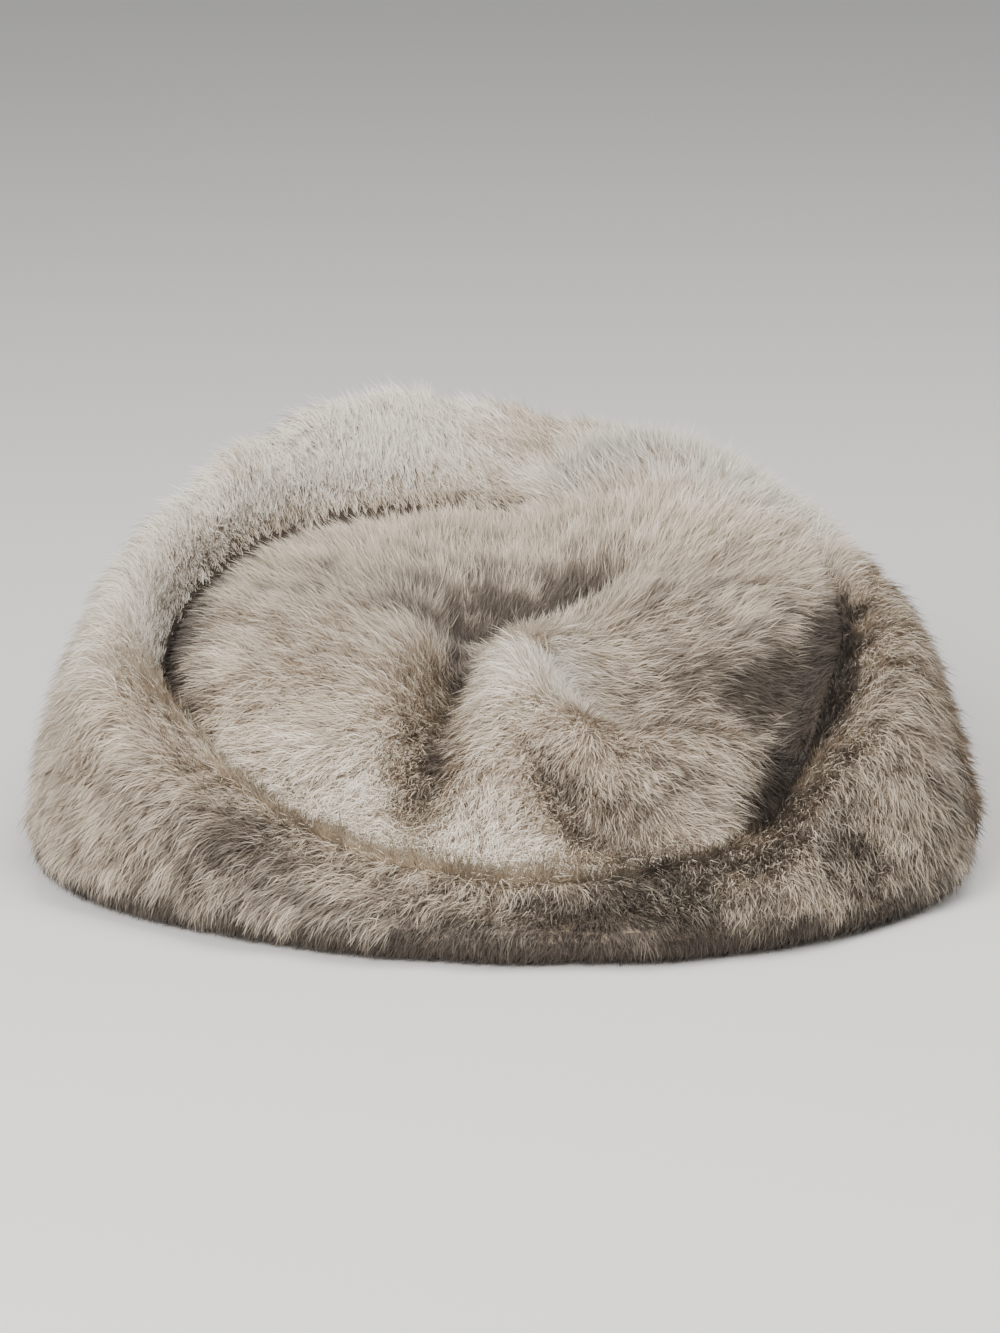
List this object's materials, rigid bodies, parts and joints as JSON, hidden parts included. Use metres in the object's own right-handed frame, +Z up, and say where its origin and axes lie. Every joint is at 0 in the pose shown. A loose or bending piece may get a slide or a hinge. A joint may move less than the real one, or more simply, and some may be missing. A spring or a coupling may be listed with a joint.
{
  "type": "fur pillbox hat",
  "caption": "Soft fur pillbox hat, slumped on its hem: a thick rolled side band round a sunken, crumpled crown, open below for the head.",
  "frame": {"origin": "middle of the foot of the hat's bounding box, on the surface that it rests on", "axes": "+X to the hat's right as seen from the front, +Y to its tall back, +Z up; the wearer's face is towards -Y"},
  "size_m": [0.2318, 0.2282, 0.0958],
  "materials": {
    "band_fur": "short dense fur, pale cream tips over grey-brown roots, soft satin sheen",
    "crown_fur": "short dense fur, pale cream tips over grey-brown roots, soft satin sheen"
  },
  "bodies": {
    "root": {"side_band": "band_fur", "crown": "crown_fur"}
  },
  "joints": []
}
